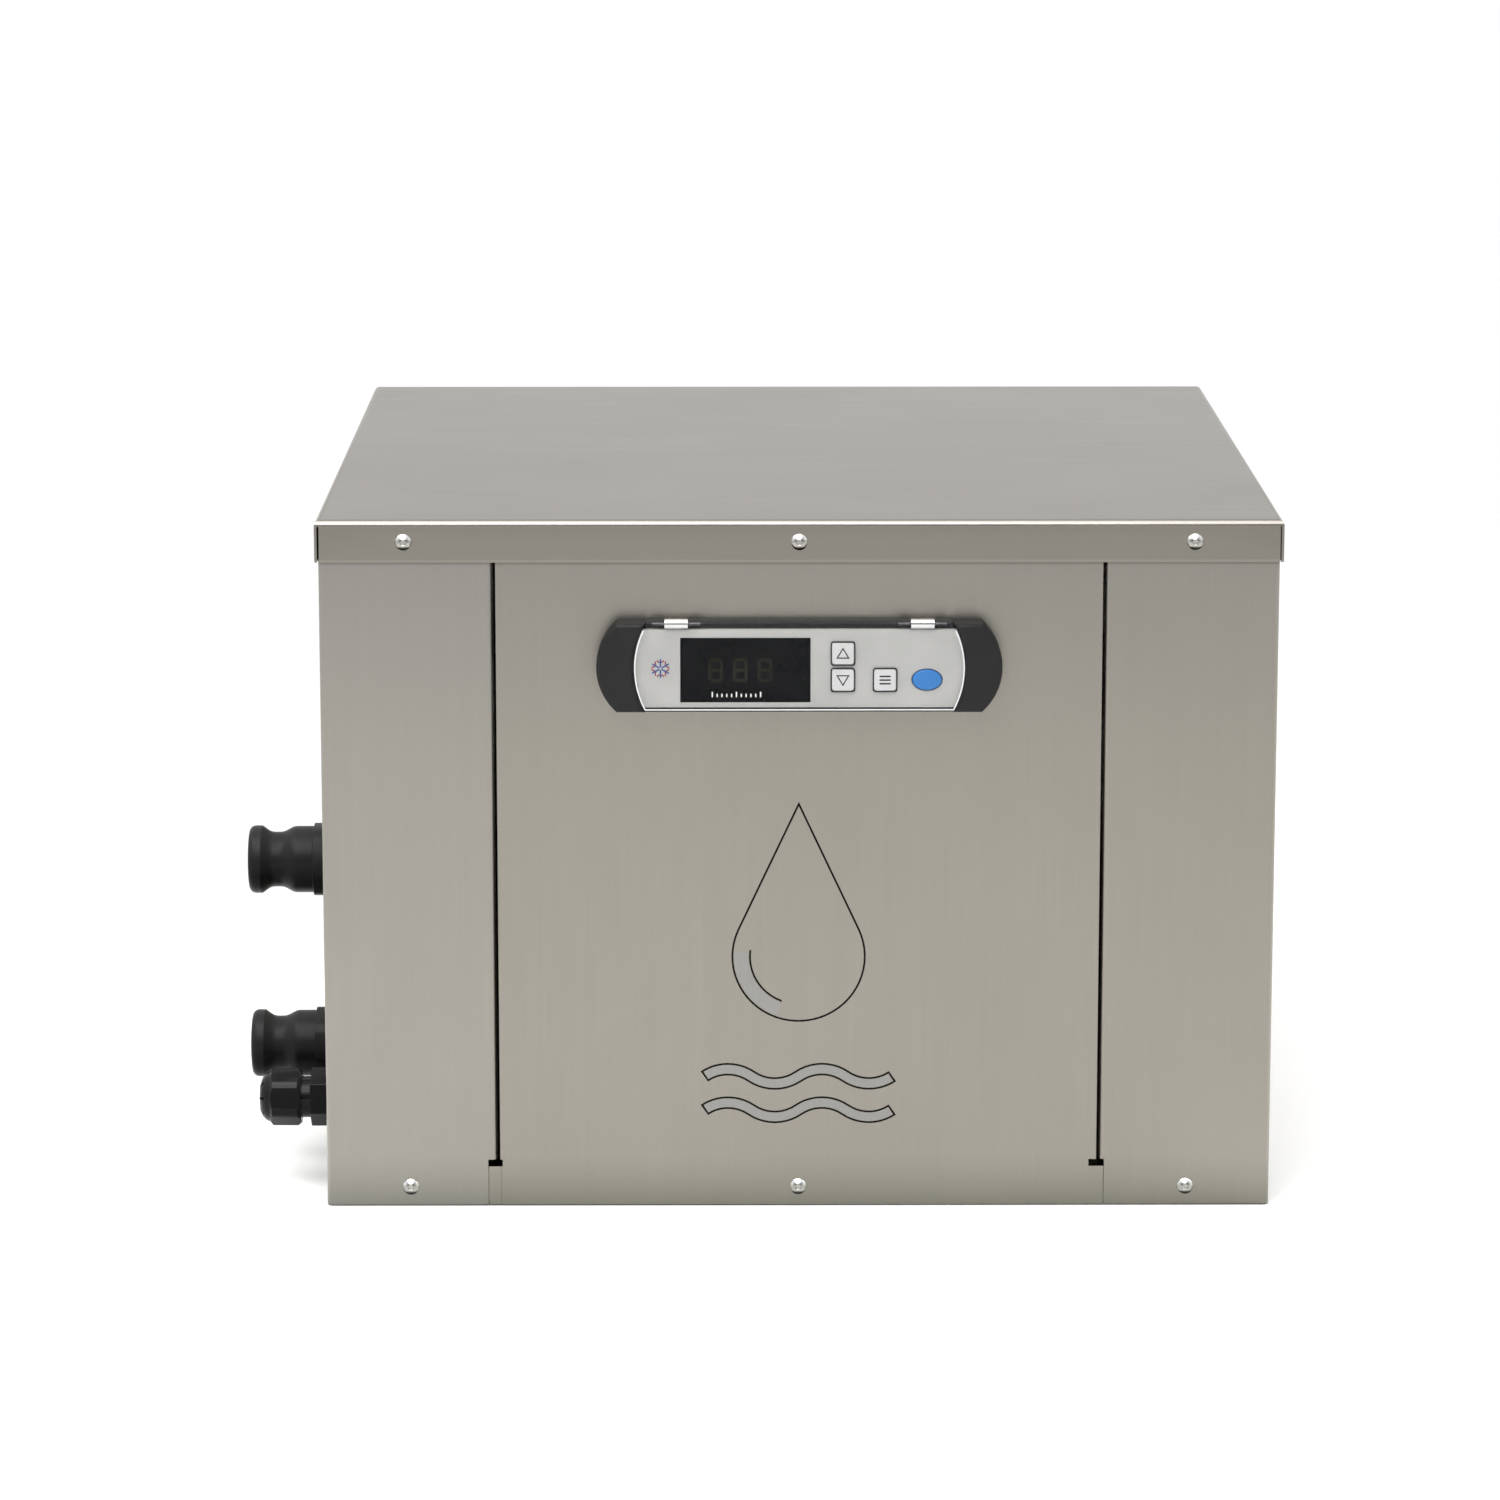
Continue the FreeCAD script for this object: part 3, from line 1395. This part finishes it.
def water_circuit():
    """The evaporator shell with its titanium coil, elbow hoses, hose clamps and temperature probe."""
    heights = {"upper": "upper_adapter_z", "lower": "lower_adapter_z"}
    shell = lathe(
        [
            ("0", "shell_foot_z"),
            ("shell_radius", "shell_foot_z"),
            ("shell_radius", "shell_top"),
            ("shell_radius - shell_wall", "shell_top"),
            ("shell_radius - shell_wall", "shell_foot_z + shell_wall"),
            ("0", "shell_foot_z + shell_wall"),
        ],
        "shell_x",
        "shell_y",
    )
    nozzles = []
    bores = []
    length = "shell_y - nozzle_end - shell_radius + shell_wall"
    for z in heights.values():
        nozzles.append(rod("nozzle_radius", length, "shell_x", "nozzle_end", z, "Y"))
        bores.append(
            rod("nozzle_radius - nozzle_wall", f"{length} + 12", "shell_x", "nozzle_end - 1", z, "Y")
        )
    foot = rod("shell_radius + shell_rim", "shell_foot_z - sheet", "shell_x", "shell_y", "sheet")
    name("evaporator_shell", cut(fuse(shell, foot, *nozzles), *bores))

    lid_ring = lathe(
        [
            ("0", "shell_top"),
            ("shell_radius", "shell_top"),
            ("shell_radius", "shell_top - shell_collar"),
            ("shell_cap_radius", "shell_top - shell_collar"),
            ("shell_cap_radius", "shell_cap_top - shell_chamfer"),
            ("shell_cap_radius - shell_chamfer", "shell_cap_top"),
            ("0", "shell_cap_top"),
        ],
        "shell_x",
        "shell_y",
    )
    through = [
        rod("coil_riser_radius", "cutter * 3", "shell_x + coil_riser", "shell_y", "shell_top - cutter"),
        rod("coil_riser_radius", "cutter * 3", "shell_x + coil_radius", "shell_y", "shell_top - cutter"),
        rod("probe_radius", "cutter * 3", "shell_x - coil_riser", "shell_y", "shell_top - cutter"),
    ]
    name("evaporator_cap", cut(lid_ring, *through))

    rings = []
    for n in range(int(size("coil_turns"))):
        ring = doc.addObject("Part::Torus", "turn")
        bind(ring, Radius1="coil_radius", Radius2="coil_tube - 0.01")
        rings.append(place(ring, "shell_x", "shell_y", f"coil_start_z + {n} * coil_pitch"))
    riser_x = "shell_x + coil_radius"
    rings.append(rod("coil_riser_radius", "coil_top_z - coil_start_z", riser_x, "shell_y", "coil_start_z"))
    name("titanium_coil", fuse(*rings))

    name("elbow_hoses", group([hose(size(z)) for z in heights.values()]))
    clamps = []
    for z in heights.values():
        for spot, axis in (
            ((f"{LEFT} + adapter_tail - hose_cover + clamp_inset", "adapter_y", z), "X"),
            (("shell_x", "nozzle_end + clamp_nozzle_inset", z), "Y"),
        ):
            band = rod("clamp_radius", "clamp_width", *spot, axis)
            inside = rod("hose_outer", "clamp_width * 3", *shifted(spot, axis, "- clamp_width"), axis)
            lug = box(
                f"{spot[0]} + 0.5",
                f"{spot[1]} + 0.5",
                f"{z} + hose_outer + 0.2",
                "clamp_lug",
                "clamp_lug",
                "clamp_lug_height",
            )
            clamps.append(cut(fuse(band, lug), inside))
    name("hose_clamps", group(clamps))

    probe_x = "shell_x - coil_riser"
    stem = rod("probe_radius - 0.01", "probe_top - probe_bottom", probe_x, "shell_y", "probe_bottom")
    nut = hexagon("probe_nut", "probe_nut_height", probe_x, "shell_y", "shell_cap_top")
    name("temperature_probe", fuse(stem, nut))


def shifted(spot, axis, amount):
    """A point moved along an axis by a formula."""
    index = "XYZ".index(axis)
    return tuple(f"{item} {amount}" if n == index else item for n, item in enumerate(spot))


# ---------------------------------------------------------------- refrigeration circuit


def compressor():
    """The hermetic compressor on its feet, with rubber grommets, bolts, terminal cover and accumulator."""
    shell = lathe(
        [
            ("0", "comp_bottom"),
            ("comp_radius - comp_dome", "comp_bottom"),
            ("comp_radius", "comp_bottom + comp_dome"),
            ("comp_radius", "comp_top - comp_dome"),
            ("comp_radius - comp_dome * 0.3", "comp_top - comp_dome * 0.4"),
            ("comp_radius - comp_dome", "comp_top"),
            ("0", "comp_top"),
        ],
        "comp_x",
        "comp_y",
    )
    socket = rod("term_socket", "term_height - 2 * term_wall", "comp_x", "comp_y", "comp_top")
    feet = []
    for angle in (45, 135):
        turn = FreeCAD.Rotation(FreeCAD.Vector(0, 0, 1), angle)
        arm = box(
            "-comp_foot_reach",
            "-comp_foot_width / 2",
            "0",
            "2 * comp_foot_reach",
            "comp_foot_width",
            "comp_foot_thickness",
        )
        holder = doc.addObject("Part::Compound", "arm")
        holder.Links = [arm]
        feet.append(place(holder, "comp_x", "comp_y", "comp_foot_z", turn=turn))
    spots = [
        ("comp_x", "comp_y", f"{sx}comp_bolt_circle * sqrt(0.5)", f"{sy}comp_bolt_circle * sqrt(0.5)")
        for sx in ("+ ", "- ") for sy in ("+ ", "- ")
    ]
    spots = [(f"{x} {dx}", f"{y} {dy}") for x, y, dx, dy in spots]
    seats = [rod("grommet_radius - 3", "cutter", x, y, "comp_foot_z - 5") for x, y in spots]
    name("compressor", fuse(shell, socket, cut(fuse(*feet), *seats)))
    grommets = []
    bolts = []
    for x, y in spots:
        profile = [
            ("comp_bolt_radius + 0.2", "sheet"),
            ("grommet_radius", "sheet"),
            ("grommet_radius", "comp_foot_z"),
            ("grommet_radius - 3", "comp_foot_z"),
            ("grommet_radius - 3", "comp_foot_z + comp_foot_thickness"),
            ("grommet_radius - 1", "comp_foot_z + comp_foot_thickness"),
            ("grommet_radius - 1", "comp_bolt_top - bolt_head_height - washer"),
            ("comp_bolt_radius + 0.2", "comp_bolt_top - bolt_head_height - washer"),
        ]
        grommets.append(lathe(profile, x, y))
        shank = rod("comp_bolt_radius", "comp_bolt_top - sheet", x, y, "sheet")
        washer = rod("grommet_radius - 1", "washer", x, y, "comp_bolt_top - bolt_head_height - washer")
        head = hexagon("bolt_head", "bolt_head_height", x, y, "comp_bolt_top - bolt_head_height")
        bolts.append(fuse(shank, washer, head))
    name("compressor_grommets", group(grommets))
    name("compressor_bolts", group(bolts))
    cover = rod("term_radius", "term_height", "comp_x", "comp_y", "comp_top")
    inside = rod("term_radius - term_wall", "term_height - term_wall", "comp_x", "comp_y", "comp_top - 0.01")
    name("terminal_cover", cut(cover, inside))
    accumulator = lathe(
        [
            ("0", "accu_bottom"),
            ("accu_neck", "accu_bottom"),
            ("accu_radius", "accu_bottom + accu_dome"),
            ("accu_radius", "accu_top - accu_dome"),
            ("accu_neck", "accu_top"),
            ("0", "accu_top"),
        ],
        "accu_x",
        "comp_y",
    )
    strap = box(
        "comp_x + comp_radius",
        "comp_y - strap_width / 2",
        "(accu_bottom + accu_top) / 2",
        "accu_x - comp_x - comp_radius - accu_radius",
        "strap_width",
        "strap_height",
    )
    name("suction_accumulator", fuse(accumulator, strap))


def refrigerant_lines():
    """The copper lines, the filter drier and the capillary tube."""
    comp_x, comp_y = size("comp_x"), size("comp_y")
    shell_x, shell_y = size("shell_x"), size("shell_y")
    coil_x = shell_x + size("coil_radius")
    accu_x = size("accu_x")
    cond_top = size("cond_bottom") + size("cond_height") + 6
    suction_z = size("suction_z")
    discharge_z = size("discharge_z")
    reach = comp_x - size("discharge_reach") - 8
    cond_y = size("cond_front") + size("cond_depth") / 4
    cond_left = size("cond_x") - size("cond_w") / 2
    tube_top = size("cond_bottom") + size("cond_height") * (1 - 0.5 / size("cond_rows"))
    tube_low = size("cond_bottom") + size("cond_height") * 0.5 / size("cond_rows")
    ends = size("end_loop")
    discharge = [
        (reach, comp_y, size("comp_top")),
        (reach, comp_y, discharge_z),
        (reach, cond_y - size("discharge_back"), discharge_z),
        (cond_left - size("discharge_side"), cond_y - size("discharge_back"), discharge_z),
        (cond_left - size("discharge_side"), cond_y, tube_top),
        (cond_left - ends, cond_y, tube_top),
    ]
    name("discharge_line", pipe("line_tube / 2 + 0.8", discharge, size("line_bend")))
    suction = [
        (coil_x, shell_y, size("coil_top_z")),
        (coil_x, shell_y, suction_z),
        (accu_x, shell_y, suction_z),
        (accu_x, comp_y, suction_z - 30),
        (accu_x, comp_y, size("accu_top")),
    ]
    name("suction_line", pipe("suction_tube / 2", suction, size("suction_bend") * 0.6))
    drier_x, drier_y = size("drier_x"), size("drier_y")
    liquid = [
        (cond_left - ends, cond_y, tube_low),
        (drier_x + 20, cond_y, tube_low),
        (drier_x, drier_y, tube_low - 14),
        (drier_x, drier_y, size("drier_bottom")),
    ]
    name("liquid_line", pipe("line_tube / 2", liquid, 8))
    drier = lathe(
        [
            ("0", "drier_bottom"),
            ("line_tube / 2 + drier_neck", "drier_bottom"),
            ("drier_radius", "drier_bottom + drier_taper"),
            ("drier_radius", "drier_top - drier_taper"),
            ("line_tube / 2 + drier_neck", "drier_top"),
            ("0", "drier_top"),
        ],
        "drier_x",
        "drier_y",
    )
    name("filter_drier", drier)
    riser_x = shell_x + size("coil_riser")
    capillary = [
        (drier_x, drier_y, size("drier_top")),
        (drier_x, drier_y, size("capillary_low_z")),
        (drier_x, shell_y + 30, size("capillary_low_z")),
        (riser_x, shell_y + 30, size("capillary_high_z")),
        (riser_x, shell_y, size("capillary_high_z")),
        (riser_x, shell_y, size("probe_bottom") + 20),
    ]
    name("capillary_tube", pipe("capillary_tube", capillary, size("capillary_bend")))


def condenser():
    """The finned condenser, its tubes and end plates, and the shroud that leads its air to the fan."""
    back = "cond_front + cond_depth"
    left = "cond_x - cond_w / 2"
    pitch = "(cond_w - 2 * end_plate) / (fin_count + 1)"
    holes = []
    straights = []
    row_z = []
    for row in range(int(size("cond_rows"))):
        for column in range(int(size("cond_columns"))):
            z = f"cond_bottom + cond_height * ({row} + 0.5) / cond_rows"
            y = f"cond_front + cond_depth * ({column} + 0.5) / cond_columns"
            row_z.append((y, z))
    fin = box("0", "cond_front", "cond_bottom", "fin_thickness", "cond_depth", "cond_height")
    plate_blank = box(
        "0",
        "cond_front - end_loop",
        "cond_bottom - plate_margin",
        "end_plate",
        "cond_depth + end_loop",
        "cond_height + 2 * plate_margin",
    )
    for y, z in row_z:
        holes.append(rod("cond_hole", "cond_w", "-5", y, z, "X"))
        straights.append(rod("cond_tube", "cond_w + 2 * end_loop", f"{left} - end_loop", y, z, "X"))
    cutters = fuse(*holes)
    drilled_fin = cut(fin, cutters)
    drilled_plate = cut(plate_blank, cutters)
    step = (size("cond_w") - 2 * size("end_plate")) / (size("fin_count") + 1)
    x_left = size("cond_x") - size("cond_w") / 2
    count = int(size("fin_count"))
    spots = [
        FreeCAD.Placement(FreeCAD.Vector(x_left + size("end_plate") + step * (n + 1), 0, 0), AXES["Z"])
        for n in range(count)
    ]
    name("condenser_fins", copies(drilled_fin, spots))
    ends = [
        FreeCAD.Placement(FreeCAD.Vector(x, 0, 0), AXES["Z"])
        for x in (x_left, x_left + size("cond_w") - size("end_plate"))
    ]
    name("condenser_end_plates", copies(drilled_plate, ends))

    bends = []
    radius = "cond_height / cond_rows / 2"
    for column in range(int(size("cond_columns"))):
        y = f"cond_front + cond_depth * ({column} + 0.5) / cond_columns"
        for row in range(int(size("cond_rows")) - 1):
            right_side = (row + column) % 2 == 0
            x = f"{left} + cond_w + end_loop" if right_side else f"{left} - end_loop"
            z = f"cond_bottom + cond_height * ({row} + 1) / cond_rows"
            bend = doc.addObject("Part::Torus", "bend")
            bind(bend, Radius1=radius, Radius2="cond_tube", Angle3="180")
            turn = AXES["Y"] if right_side else AXES["-Y"]
            spin = FreeCAD.Rotation(FreeCAD.Vector(0, 0, 1), -90 if right_side else 90)
            bends.append(place(bend, x, y, z, turn=turn.multiply(spin)))
    name("condenser_tubes", fuse(*straights, *bends))

    wide = "cond_w + 2 * shroud_side"
    tall = "cond_height + 2 * shroud_over"
    outer = box(f"{left} - shroud_side", back, "cond_bottom - shroud_over", wide, "shroud_skirt", tall)
    inner = box(
        f"{left} - shroud_side + shroud_sheet",
        f"{back} - 1",
        "cond_bottom - shroud_over + shroud_sheet",
        f"{wide} - 2 * shroud_sheet",
        "shroud_skirt - shroud_sheet + 1",
        f"{tall} - 2 * shroud_sheet",
    )
    centre_z = "cond_bottom + cond_height / 2"
    throat = rod(
        "shroud_hole + 2", "shroud_ring", "cond_x", f"{back} + shroud_skirt - shroud_sheet", centre_z, "Y"
    )
    bore = rod("shroud_hole", "shroud_ring + 20", "cond_x", f"{back} + shroud_skirt - 10", centre_z, "Y")
    name("fan_shroud", cut(fuse(cut(outer, inner), throat), bore))


def fan():
    """The condenser fan: motor, its cross bracket and the five-bladed impeller."""
    centre_z = "cond_bottom + cond_height / 2"
    motor = rod("motor_radius", "motor_length", "cond_x", "motor_front", centre_z, "Y")
    shaft = rod(
        "motor_shaft",
        "fan_front + fan_depth - motor_front - motor_length - 1",
        "cond_x",
        "motor_front + motor_length",
        centre_z,
        "Y",
    )
    name("fan_motor", fuse(motor, shaft))
    arms = []
    shroud_face = "cond_front + cond_depth + shroud_skirt - shroud_sheet"
    for n in range(2):
        arm = box(
            "-bracket_reach", "-bracket_arm / 2", "0", "2 * bracket_reach", "bracket_arm", "bracket_thickness"
        )
        holder = doc.addObject("Part::Compound", "arm")
        holder.Links = [arm]
        turn = FreeCAD.Rotation(FreeCAD.Vector(0, 1, 0), 45 + 90 * n).multiply(AXES["-Y"])
        arms.append(place(holder, "cond_x", shroud_face, centre_z, turn=turn))
    ring = rod(
        "motor_radius + 5", "bracket_thickness", "cond_x", f"{shroud_face} - bracket_thickness", centre_z, "Y"
    )
    seat = rod("motor_radius", "cutter * 2", "cond_x", f"{shroud_face} - cutter", centre_z, "Y")
    name("fan_bracket", cut(fuse(ring, *arms), seat))

    root = doc.addObject("Sketcher::SketchObject", "blade_root")
    tip = doc.addObject("Sketcher::SketchObject", "blade_tip")
    for sketch, chord, height, pitch in (
        (root, "fan_chord_root", "fan_hub - 3", 1), (tip, "fan_chord_tip", "fan_radius + 2", 0.7)
    ):
        blade_section(sketch, chord)
        turn = FreeCAD.Rotation(FreeCAD.Vector(0, 0, 1), size("fan_pitch") * pitch)
        place(sketch, z=height, turn=turn)
    blade = doc.addObject("Part::Loft", "blade")
    blade.Sections = [root, tip]
    blade.Solid = True
    blade.Ruled = True
    blades = []
    count = int(size("fan_blades"))
    middle_y = "fan_front + fan_depth / 2"
    for n in range(count):
        holder = doc.addObject("Part::Compound", "blade")
        holder.Links = [blade]
        turn = FreeCAD.Rotation(FreeCAD.Vector(0, 1, 0), 360 / count * n)
        blades.append(place(holder, "cond_x", middle_y, centre_z, turn=turn))
    sweep = rod("fan_radius", "fan_depth + 8", "cond_x", "fan_front - 4", centre_z, "Y")
    core = rod("fan_hub - 2", "fan_depth + cutter * 2", "cond_x", "fan_front - cutter", centre_z, "Y")
    swept = cut(common(fuse(*blades), sweep), core)
    hub = rod("fan_hub", "fan_depth", "cond_x", "fan_front", centre_z, "Y")
    hollow = rod("fan_hub - 3", "fan_depth - 4", "cond_x", "fan_front - 1", centre_z, "Y")
    boss = rod("motor_shaft + 5", "fan_depth - 2", "cond_x", "fan_front + 1", centre_z, "Y")
    bore = rod("fan_bore", "fan_depth - 1", "cond_x", "fan_front", centre_z, "Y")
    cup = cut(fuse(cut(hub, hollow), boss), bore)
    name("condenser_fan", fuse(cup, swept))


def blade_section(sketch, chord):
    """A thin rectangle across a fan blade: its chord by its thickness."""
    corners = [(-1, -1), (1, -1), (1, 1), (-1, 1)]
    spots = [FreeCAD.Vector(20 * u, 2 * v, 0) for u, v in corners]
    count = len(corners)
    for n in range(count):
        sketch.addGeometry(Part.LineSegment(spots[n], spots[(n + 1) % count]))
    for n in range(count):
        sketch.addConstraint(Sketcher.Constraint("Coincident", n, 2, (n + 1) % count, 1))
    for n, (u, v) in enumerate(corners):
        for kind, formula, start in (
            ("DistanceX", f"{u} * {chord} / 2", spots[n].x),
            ("DistanceY", f"{v} * fan_thickness / 2", spots[n].y),
        ):
            index = sketch.addConstraint(Sketcher.Constraint(kind, -1, 1, n, 1, start))
            sketch.setExpression(f"Constraints[{index}]", dims(formula))


# ---------------------------------------------------------------- electrical parts


def electrical():
    """The compressor's relay and run capacitor, on a bracket plate behind the front panel."""
    base = box(
        "capacitor_x - 32",
        "contactor_y - contactor_d / 2 - floor_margin",
        "sheet",
        "contactor_x - capacitor_x + 66",
        "contactor_d + 2 * floor_margin",
        "floor_plate",
    )
    floor = "sheet + floor_plate"
    block = box(
        "contactor_x - contactor_w / 2",
        "contactor_y - contactor_d / 2",
        floor,
        "contactor_w",
        "contactor_d",
        "contactor_h * 0.6",
    )
    top = box(
        "contactor_x - contactor_w / 2 + contactor_inset",
        "contactor_y - contactor_d / 2 + contactor_shoulder",
        floor,
        "contactor_w - 2 * contactor_inset",
        "contactor_d - 2 * contactor_shoulder",
        "contactor_h",
    )
    wells = []
    for n in range(4):
        for y in ("contactor_y - contactor_d / 2 + 6", "contactor_y + contactor_d / 2 - 6"):
            wells.append(
                rod(
                    "contactor_screw",
                    "contactor_inset + 1",
                    f"contactor_x + ({n} - 1.5) * contactor_pitch",
                    y,
                    f"{floor} + contactor_h * 0.6 - contactor_inset",
                )
            )
    name("compressor_relay", cut(fuse(block, top), *wells))
    can = lathe(
        [
            ("0", floor),
            ("capacitor_radius - 1", floor),
            ("capacitor_radius", f"{floor} + 1"),
            ("capacitor_radius", f"{floor} + capacitor_height - 2"),
            ("capacitor_radius + 1", f"{floor} + capacitor_height - 1"),
            ("capacitor_radius - 1", f"{floor} + capacitor_height"),
            ("0", f"{floor} + capacitor_height"),
        ],
        "capacitor_x",
        "capacitor_y",
    )
    tab_y = "capacitor_y - tab_width / 2"
    tab_z = f"{floor} + capacitor_height"
    tabs = [
        box(f"capacitor_x {sign} tab_gap", tab_y, tab_z, "tab_thickness", "tab_width", "tab_height")
        for sign in ("-", "+")
    ]
    name("run_capacitor", fuse(can, *tabs))
    band_z = f"{floor} + band_start"
    band = rod("capacitor_radius + band_thickness", "band_width", "capacitor_x", "capacitor_y", band_z)
    inside = rod("capacitor_radius", "band_width + 2", "capacitor_x", "capacitor_y", f"{band_z} - 1")
    leg_height = "band_start + band_width"
    leg = box(
        "capacitor_x - leg_width / 2",
        "capacitor_y + capacitor_radius",
        floor,
        "leg_width",
        "band_thickness",
        leg_height,
    )
    name("electrical_bracket", fuse(base, cut(band, inside), leg))


# ---------------------------------------------------------------- build, check and write


def check_document():
    """Stop if any object of the document failed, or any sub-part is empty or not valid."""
    for thing in doc.Objects:
        if "Invalid" in thing.State or "Error" in thing.State:
            raise RuntimeError(f"{thing.Name} ({thing.Label}) failed: {thing.State}")
    for thing in subparts:
        if thing.Shape.isNull() or not thing.Shape.isValid() or not thing.Shape.Solids:
            raise RuntimeError(f"{thing.Label} has no valid solid")
    labels = [thing.Label for thing in subparts]
    if len(set(labels)) != len(labels):
        raise RuntimeError("two sub-parts share a name")


def build():
    """Make every sub-part, check them and write one STEP file each."""
    base_tray()
    side_panels()
    front_panel()
    rear_panel()
    lid()
    fasteners()
    controller()
    fittings()
    water_circuit()
    compressor()
    refrigerant_lines()
    condenser()
    fan()
    electrical()
    doc.recompute()
    check_document()
    os.makedirs("parts", exist_ok=True)
    for thing in subparts:
        thing.Shape.exportStep(f"parts/{thing.Label}.step")
        print(f"{thing.Label}: {len(thing.Shape.Solids)} solids, {thing.Shape.Volume / 1000:.2f} cm3")


build()
